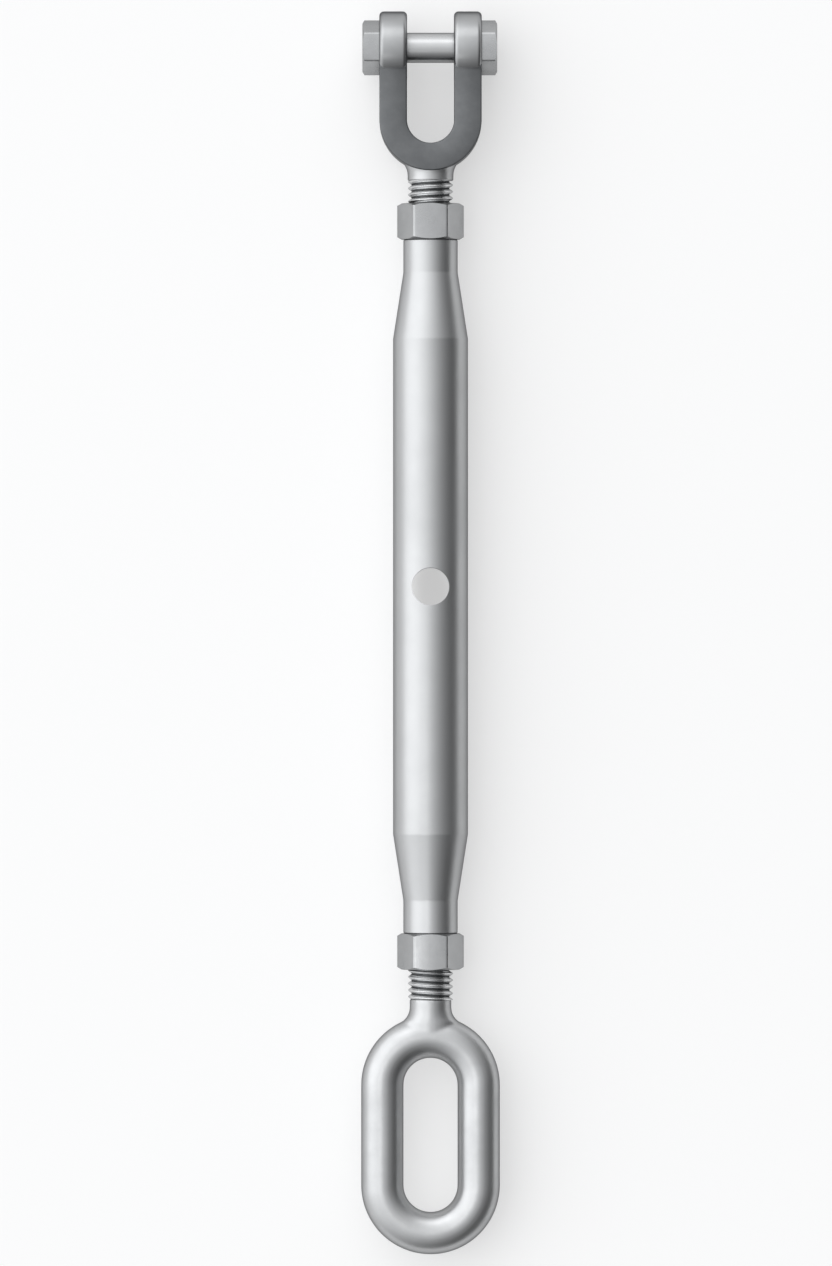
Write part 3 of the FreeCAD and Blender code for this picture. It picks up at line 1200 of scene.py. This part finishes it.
@dataclass
class EyeFitting(SubAssembly):
    """Oval loop of round bar, its neck and its left-hand screw."""

    upper_arc: float = -132.9  # centre of the arc at the neck
    lower_arc: float = -159.57  # centre of the other arc
    path: float = 12.85  # radius of both arcs at the middle of the bar
    bar: float = 5.65  # radius
    grain: float = 0.34  # size of the forging's facets
    passes: int = 8  # of smoothing over them
    stem: Stem = Stem(
        hand=Hand.LEFT,
        neck=5.55,
        shoulder=-110.0,
        flare=(
            (0.0, 0.0),
            (0.0, 2.6),
            (0.25, 3.8),
            (0.9, 5.0),
            (1.9, 6.0),
            (1.9, 9.0),
        ),
        start=-12.5,
        overlap=0.25,
    )

    def build(self) -> Workpiece:
        """Melt loop and neck into one forging and add the screw.

        Returns:
            The fitting.
        """
        piece = self._loop()
        piece.add(self._neck())
        piece.fuse(self.grain, self.passes)
        return piece.add(self.stem.roll_screw(), Surface.THREAD)

    def _loop(self) -> Workpiece:
        """Bend the bar: half circle, straight, half circle, straight.

        Returns:
            The closed loop.
        """
        loop = Workpiece()
        start = Matrix.Translation(Vector((self.path, self.upper_arc, 0.0)))
        upright = Matrix.Rotation(math.radians(90.0), 4, "X")
        bmesh.ops.create_circle(
            loop.mesh,
            cap_ends=False,
            segments=BEND,
            radius=self.bar,
            matrix=start @ upright,
        )
        edges = loop.mesh.edges[:]
        arcs = (self.upper_arc, self.lower_arc)
        for centre, opposite in (arcs, arcs[::-1]):
            edges = loop.bend(edges, centre, clockwise=False)
            edges = loop.pull(edges, opposite - centre)
        return loop.tidy()

    def _neck(self) -> Workpiece:
        """Turn the neck and press its flare flat to the neck's thickness.

        Returns:
            The closed neck.
        """
        neck = self.stem.turn_neck()
        for vertex in neck.mesh.verts:
            radius = math.hypot(vertex.co.x, vertex.co.z)
            if radius > self.stem.neck:
                vertex.co.z *= self.stem.neck / radius
        return neck


@dataclass
class LockNut(SubAssembly):
    """Lock nut against one end of the body. Its places are along its own axis."""

    start: float = BODY_END
    end: float = LOCK_NUT_END
    flats: float = 15.7  # width across flats
    bore: float = 6.05  # radius
    axis: Axis = Axis.ALONG
    turned_start: bool = True  # its corners too

    def build(self) -> Workpiece:
        """Cut the nut from a hexagon.

        Returns:
            The nut.
        """
        blank = Hexagon(
            flats=self.flats,
            start=self.start,
            end=self.end,
            axis=self.axis,
            bore=self.bore,
            turned_start=self.turned_start,
        )
        return blank.build()


@dataclass
class JawBolt(SubAssembly):
    """Hexagon bolt through the ears, threaded at its end. Its places are along X."""

    bolt_axis: float = BOLT_AXIS
    seat: float = -BOLT_SEAT
    head: float = 4.5  # height
    flats: float = 13.0  # width across flats
    shank: float = 4.0  # radius of shank and thread
    root: float = 1.0  # of the shank in the head
    shank_end: float = 13.0
    shank_bevel: float = 0.5
    thread_end: float = 12.7  # where it meets the shank
    end: float = BOLT_END
    pitch: float = 1.25
    tip: float = 0.6  # bevel of the bolt's end

    def build(self) -> Workpiece:
        """Join the head, the plain shank and the threaded end.

        Returns:
            The bolt.
        """
        head = Hexagon(
            flats=self.flats,
            start=self.seat - self.head,
            end=self.seat,
            axis=Axis.ACROSS,
            turned_end=False,
        )
        outline: list[Point] = [
            (0.0, self.seat - self.root),
            (self.shank, self.seat - self.root),
            (self.shank, self.shank_end - self.shank_bevel),
            (self.shank - self.shank_bevel, self.shank_end),
            (0.0, self.shank_end),
        ]
        screw = Thread(
            crest=self.shank,
            pitch=self.pitch,
            start=self.end,
            end=self.thread_end,
            tip=self.tip,
            axis=Axis.ACROSS,
            hand=Hand.RIGHT,
        )
        piece = head.build()
        piece.add(lathe(outline, Axis.ACROSS), Surface.SHANK)
        piece.add(screw.build())  # its crests share the head's finish
        return piece.shift(Vector((0.0, self.bolt_axis, 0.0)))


@dataclass
class BoltNut(LockNut):
    """Thin nut on the bolt's end, turned at its outer end only."""

    start: float = BOLT_SEAT
    end: float = BOLT_END
    flats: float = 13.0
    bore: float = 4.05
    axis: Axis = Axis.ACROSS
    turned_start: bool = False
    bolt_axis: float = BOLT_AXIS

    def build(self) -> Workpiece:
        """Cut the nut and set it on the bolt."""
        return super().build().shift(Vector((0.0, self.bolt_axis, 0.0)))


@dataclass(frozen=True)
class Softbox:
    """A large soft lamp.

    Attributes:
        name: name of the lamp.
        place: where it stands, in metres.
        aim: the point that it faces, in metres.
        width: its width in metres.
        height: its height in metres.
        power: its output in watts.
    """

    name: str
    place: Triple
    aim: Triple
    width: float
    height: float
    power: float

    def set_up(self) -> None:
        """Put the lamp into the scene."""
        lamp = bpy.data.lights.new(self.name, "AREA")
        lamp.shape = "RECTANGLE"
        lamp.size = self.width
        lamp.size_y = self.height
        lamp.energy = self.power
        stand = put_in_scene(self.name, lamp)
        direction = Vector(self.aim) - Vector(self.place)
        stand.rotation_mode = "QUATERNION"
        stand.rotation_quaternion = direction.to_track_quat("-Z", "Y")
        stand.location = self.place


@dataclass
class Studio:
    """Pale floor, a wide soft glow on one side, soft lamps and the camera above.

    Attributes:
        floor_level: height of the floor in metres.
        floor_size: distance from its middle to its sides in metres.
        frame_centre: middle of the picture on the plane of the axis, in metres.
        pixels: height of the picture in pixels.
        pixel: size of a pixel on that plane, in metres.
        lens: focal length in millimetres.
        sensor: height of the sensor in millimetres.
        far: how far the camera sees, in metres.
        glow_from: direction that the room glows from.
        glow: strength of the glow at its brightest.
        dusk: strength of the room on the far side.
        falloff: how fast the glow fades.
        air: colour of the room's light.
        paint: colour of the floor.
        lift: share of plain white in the floor where it is seen or mirrored.
        lamps: the soft lamps.
    """

    floor_level: float = -0.010
    floor_size: float = 6.0
    frame_centre: tuple[float, float] = (-0.00387, -0.0124)
    pixels: int = 1266
    pixel: float = 0.00026667
    lens: float = 320.0
    sensor: float = 36.0
    far: float = 100.0
    glow_from: Triple = (-0.80, 0.52, 0.49)
    glow: float = 1.84
    dusk: float = 0.05
    falloff: float = 2.2
    air: Triple = (0.99, 1.0, 1.01)
    paint: Triple = (0.95, 0.95, 0.95)
    lift: float = 0.5
    lamps: tuple[Softbox, ...] = (
        Softbox(
            name="left_box",
            place=(-0.8, -0.05, 0.56),
            aim=(0.0, 0.0, 0.0),
            width=0.3,
            height=0.9,
            power=0.2,
        ),
        Softbox(
            name="eye_box",
            place=(-0.12, -0.146, 0.5),
            aim=(0.0, -0.146, 0.0),
            width=0.12,
            height=0.14,
            power=0.07,
        ),
        Softbox(
            name="top_box",
            place=(-0.1, 0.85, 0.6),
            aim=(0.0, 0.0, 0.0),
            width=1.0,
            height=0.45,
            power=0.8,
        ),
    )

    def set_up(self) -> None:
        """Build floor, light and camera."""
        self._lay_floor()
        for lamp in self.lamps:
            lamp.set_up()
        self._light_room()
        self._point_camera()
        bpy.context.scene.view_settings.view_transform = "Standard"

    def _lay_floor(self) -> None:
        """Lay the pale floor under the fitting."""
        floor = Workpiece()
        bmesh.ops.create_grid(
            floor.mesh,
            x_segments=1,
            y_segments=1,
            size=self.floor_size,
            matrix=Matrix.Translation(Vector((0.0, 0.0, self.floor_level))),
        )
        plane = floor.to_object("floor")
        plane.data.materials.append(self._floor_paint())

    def _floor_paint(self) -> bpy.types.Material:
        """Mix a pale matt paint, lifted towards white where it is seen or mirrored.

        Returns:
            The material of the floor.
        """
        paint = bpy.data.materials.new("pale_floor")
        paint.use_nodes = True
        tree = paint.node_tree
        matt = tree.nodes["Principled BSDF"]
        surface: Inputs = {
            "Base Color": (*self.paint, 1.0),
            "Roughness": 0.9,
            "Specular IOR Level": 0.1,
        }
        feed(tree, matt, surface)
        white = add_node(tree, "Emission", {"Color": (1.0, 1.0, 1.0, 1.0)})
        ray = add_node(tree, "LightPath", {})
        seen = ray.outputs["Is Camera Ray"]
        for name in ("Is Glossy Ray", "Is Transmission Ray"):
            kinds: Inputs = {0: seen, 1: ray.outputs[name]}
            seen = add_node(tree, "Math", kinds, operation="MAXIMUM").outputs["Value"]
        share = add_node(tree, "Math", {0: seen, 1: self.lift}, operation="MULTIPLY")
        shaders: Inputs = {
            "Fac": share.outputs["Value"],
            1: matt.outputs["BSDF"],
            2: white.outputs["Emission"],
        }
        mix = add_node(tree, "MixShader", shaders)
        feed(tree, tree.nodes["Material Output"], {"Surface": mix.outputs["Shader"]})
        return paint

    def _light_room(self) -> None:
        """Let the room glow softly from one side and fade to the other."""
        room = bpy.data.worlds.new("room")
        room.use_nodes = True
        tree = room.node_tree
        where = add_node(tree, "TexCoord", {}).outputs["Generated"]
        ways: Inputs = {0: where, 1: self.glow_from}
        facing = add_node(tree, "VectorMath", ways, operation="DOT_PRODUCT")
        turned: Inputs = {"Value": facing.outputs["Value"], "From Min": -1.0}
        share = add_node(tree, "MapRange", turned).outputs["Result"]
        fade = add_node(tree, "Math", {0: share, 1: self.falloff}, operation="POWER")
        scaled: Inputs = {0: fade.outputs["Value"], 1: self.glow, 2: self.dusk}
        level = add_node(tree, "Math", scaled, operation="MULTIPLY_ADD")
        light: Inputs = {"Color": (*self.air, 1.0), "Strength": level.outputs["Value"]}
        feed(tree, tree.nodes["Background"], light)
        bpy.context.scene.world = room

    def _point_camera(self) -> None:
        """Look straight down from so far that the picture is nearly flat."""
        sight = bpy.data.cameras.new("camera")
        sight.lens = self.lens
        sight.sensor_width = self.sensor
        sight.sensor_fit = "AUTO"
        sight.clip_end = self.far
        distance = self.pixels * self.pixel / 2 / (self.sensor / 2 / self.lens)
        camera = put_in_scene("camera", sight)
        camera.location = (*self.frame_centre, distance)
        bpy.context.scene.camera = camera


def main() -> None:
    """Build every piece, then the studio."""
    logging.basicConfig(level=logging.INFO, format="%(message)s")
    # Threads: the jaw's and the eye's crests take a lighter grey as painted highlight,
    # and every groove takes a dark grey as painted shade.
    pieces: tuple[SubAssembly, ...] = (
        SwagedBody("body", "tube_steel", (DRAWN,), crisp=4.0),
        # Painted shade: the jaw's fork and ears take darker greys than its neck.
        JawFitting("jaw", "forged_steel", (FORK_SHADE, THREAD_LIGHT, GROOVE_SHADE, FORGED, EAR_SHADE)),
        EyeFitting("eye", "forged_steel", (FORGED, THREAD_LIGHT, GROOVE_SHADE)),
        LockNut("jaw_lock_nut", "nut_steel", (MACHINED,)),
        LockNut(
            "eye_lock_nut",
            "nut_steel",
            (MACHINED,),
            start=-LOCK_NUT_END,
            end=-BODY_END,
        ),
        JawBolt("jaw_bolt", "nut_steel", (MACHINED, GROOVE_SHADE, GROUND)),
        BoltNut("jaw_bolt_nut", "nut_steel", (MACHINED,)),
    )
    for piece in pieces:
        made = piece.dress()
        LOG.info("%s: %d faces", made.name, len(made.data.polygons))
    Studio().set_up()


if __name__ == "__main__":
    main()
